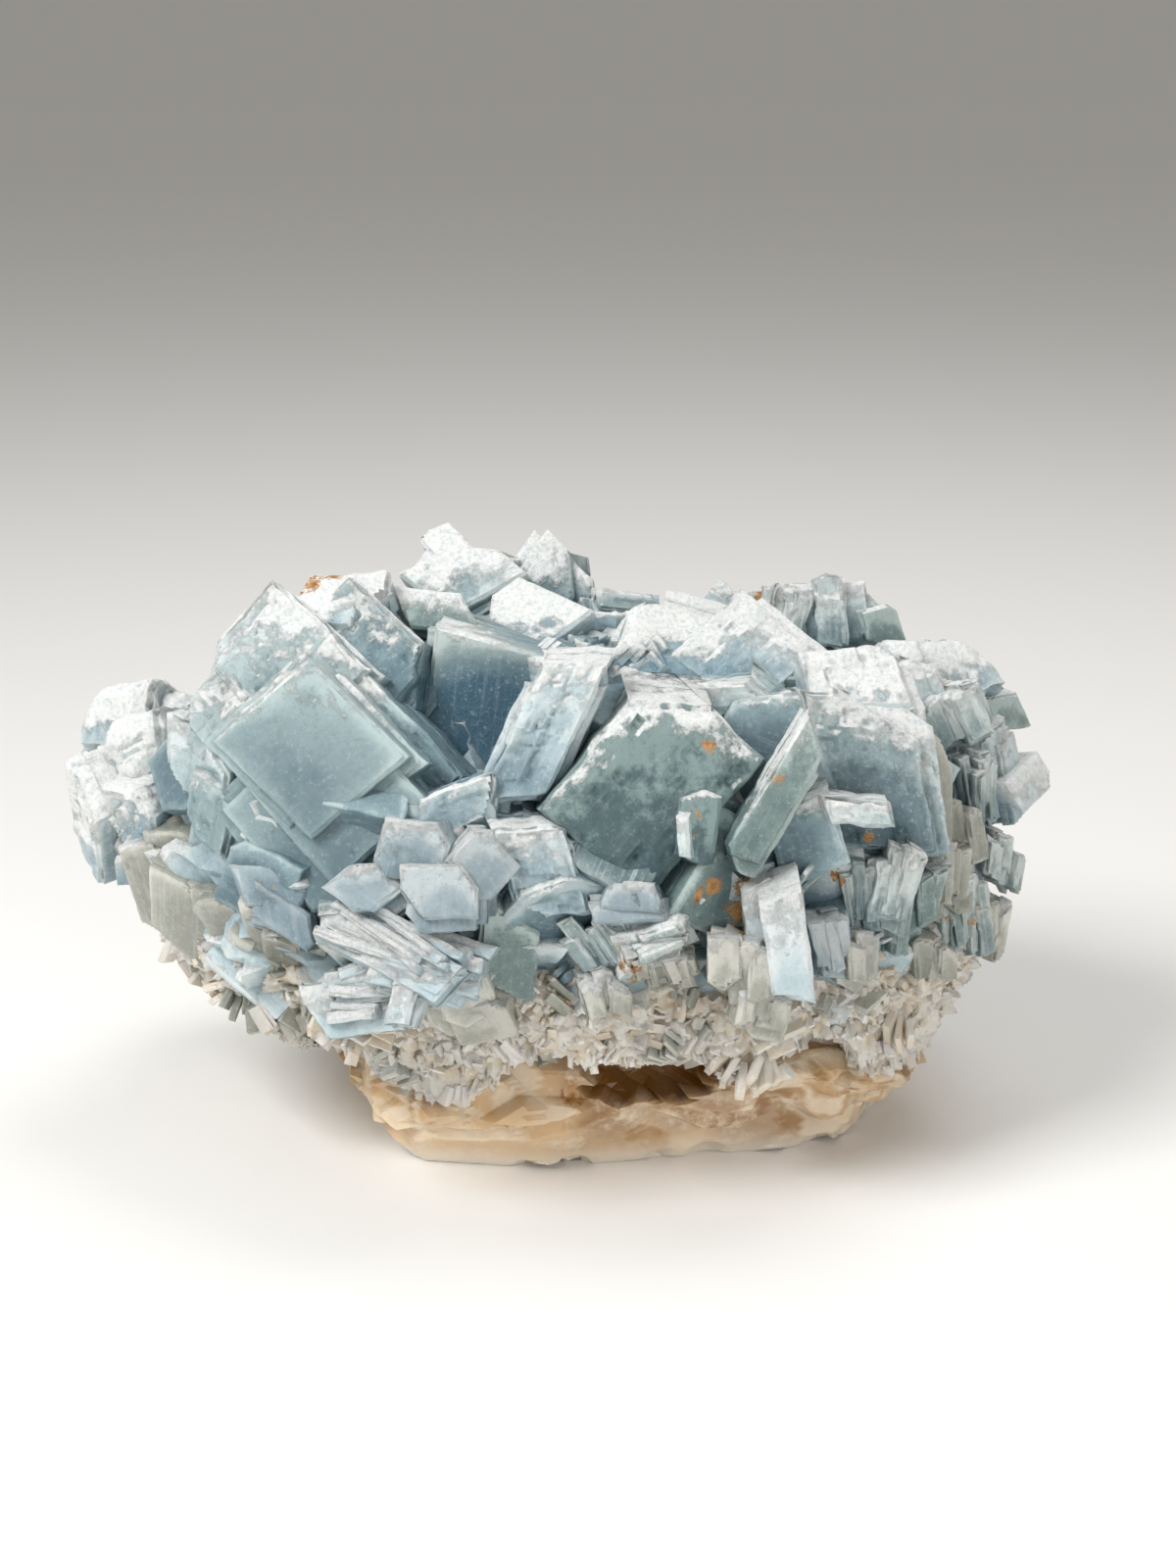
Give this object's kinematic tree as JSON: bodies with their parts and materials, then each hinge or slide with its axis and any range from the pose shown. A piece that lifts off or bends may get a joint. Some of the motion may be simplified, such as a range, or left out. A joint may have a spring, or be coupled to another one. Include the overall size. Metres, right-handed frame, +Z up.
{
  "type": "barite crystal specimen",
  "caption": "Natural cluster of intergrown tabular blue barite crystals, frosted white on top, on a broken cream calcite base that it rests on for display.",
  "frame": {"origin": "on the resting plane, under the middle of the specimen's box", "axes": "+X along the specimen's length, to the right as seen from its show side; -Y is the show side with the large flat rhombs; +Z up"},
  "size_m": [0.197, 0.1357, 0.1162],
  "materials": {
    "blue_barite": "glassy on the flat faces, frosted and pitted on the upward ones",
    "cream_calcite": "waxy on broken faces"
  },
  "bodies": {
    "root": {"barite_crystals": "blue_barite", "calcite_matrix": "cream_calcite"}
  },
  "joints": []
}
